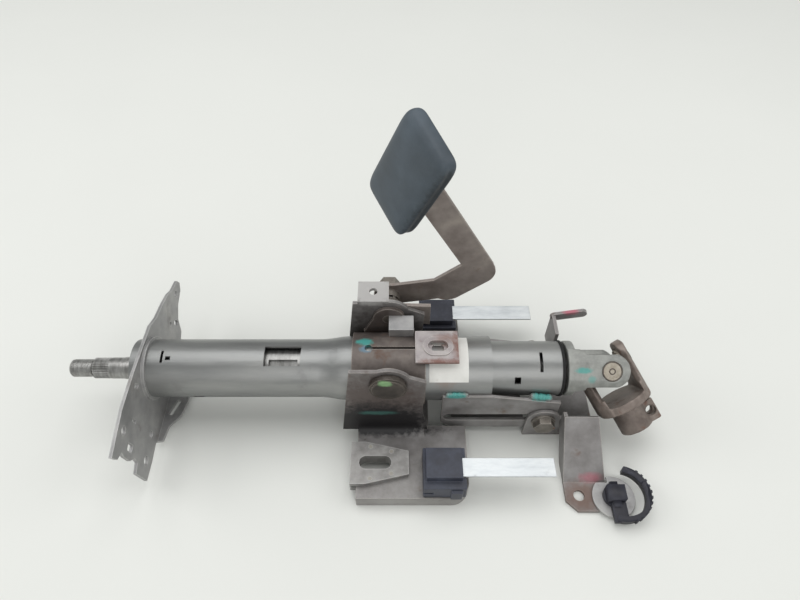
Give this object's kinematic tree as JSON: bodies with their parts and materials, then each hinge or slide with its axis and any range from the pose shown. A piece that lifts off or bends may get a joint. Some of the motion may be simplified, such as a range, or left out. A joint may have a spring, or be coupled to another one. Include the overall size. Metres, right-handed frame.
{
  "type": "tilting steering column",
  "caption": "Car steering column with a tilt clamp and lever, a breakaway mounting bracket, a switch plate at the wheel end and a universal joint on its lower shaft.",
  "frame": {"origin": "on the steering axis, in the middle of the plain land that pilots the wheel hub", "axes": "+X along the steering axis from the wheel end to the universal joint, +Z away from the car body that the wings bolt to, +Y towards the clamp lever"},
  "size_m": [0.484, 0.206, 0.2673],
  "materials": {
    "bracket_steel": "oily stained pressed steel",
    "capsule_metal": "matt die-cast",
    "pale_plastic": "moulded",
    "galvanised_strap": "galvanised",
    "black_plastic": "moulded",
    "fastener_steel": "dull plated",
    "zinc_plate": "zinc plated with rust spots",
    "jacket_steel": "satin grey",
    "rusty_steel": "rusty and oily",
    "tab_steel": "pale with a rusty edge",
    "paper_label": "bare paper",
    "bearing_steel": "ground",
    "seal_rubber": "moulded",
    "shaft_steel": "machined",
    "forged_steel": "shot-blasted forging",
    "rusty_forging": "rusty forging",
    "grip_rubber": "soft matt moulding"
  },
  "bodies": {
    "mounting": {"rake_bracket": "bracket_steel", "near_capsule": "capsule_metal", "far_capsule": "capsule_metal", "shear_pins": "pale_plastic", "near_strap": "galvanised_strap", "far_strap": "galvanised_strap", "near_strap_guide": "black_plastic", "far_strap_guide": "black_plastic", "lower_bracket": "bracket_steel", "mounting_leg": "bracket_steel", "hook_arm": "bracket_steel", "pivot_bolt": "fastener_steel", "pivot_nut": "fastener_steel", "clip_bracket": "zinc_plate", "harness_clip": "black_plastic"},
    "column": {"upper_jacket": "jacket_steel", "lower_jacket": "jacket_steel", "jacket_sleeves": "pale_plastic", "switch_plate": "zinc_plate", "saddle": "rusty_steel", "stop_plate": "zinc_plate", "guide_stud": "fastener_steel", "clamp_stud": "fastener_steel", "friction_plate": "rusty_steel", "fixed_cam": "fastener_steel", "thrust_washer": "fastener_steel", "clamp_nut": "fastener_steel", "slotted_tab": "tab_steel", "label": "paper_label", "pivot_channel": "bracket_steel", "upper_bearing_race": "bearing_steel", "upper_bearing_balls": "bearing_steel", "lower_bearing_race": "bearing_steel", "lower_bearing_balls": "bearing_steel", "lower_seal": "seal_rubber"},
    "shaft": {"upper_shaft": "shaft_steel", "lower_shaft": "shaft_steel", "lock_collar": "shaft_steel", "upper_inner_race": "bearing_steel", "lower_inner_race": "bearing_steel", "inner_yoke": "forged_steel", "inner_cups": "bearing_steel"},
    "spider": {"cross": "shaft_steel"},
    "outer_joint": {"outer_yoke": "rusty_forging", "outer_cups": "bearing_steel"},
    "lever": {"lever_arm": "rusty_steel", "lever_grip": "grip_rubber", "moving_cam": "fastener_steel"}
  },
  "joints": [
    {"name": "column_tilt", "type": "hinge", "parent": "mounting", "child": "column", "pos_m": [0.351, 0, -0.031], "axis": [0, 1, 0], "range_deg": [-2.5, 2.5]},
    {"name": "shaft_spin", "type": "hinge", "parent": "column", "child": "shaft", "pos_m": [0, 0, 0], "axis": [1, 0, 0], "continuous": true},
    {"name": "cross_swing", "type": "hinge", "parent": "shaft", "child": "spider", "pos_m": [0.4, 0, 0], "axis": [0, -0.6428, 0.766], "range_deg": [0, 120]},
    {"name": "yoke_swing", "type": "hinge", "parent": "spider", "child": "outer_joint", "pos_m": [0.4, 0, 0], "axis": [0.866, 0.383, 0.3214], "range_deg": [-20, 20]},
    {"name": "lever_swing", "type": "hinge", "parent": "column", "child": "lever", "pos_m": [0.223, 0, 0.03], "axis": [0, 1, 0], "range_deg": [0, 30]}
  ]
}
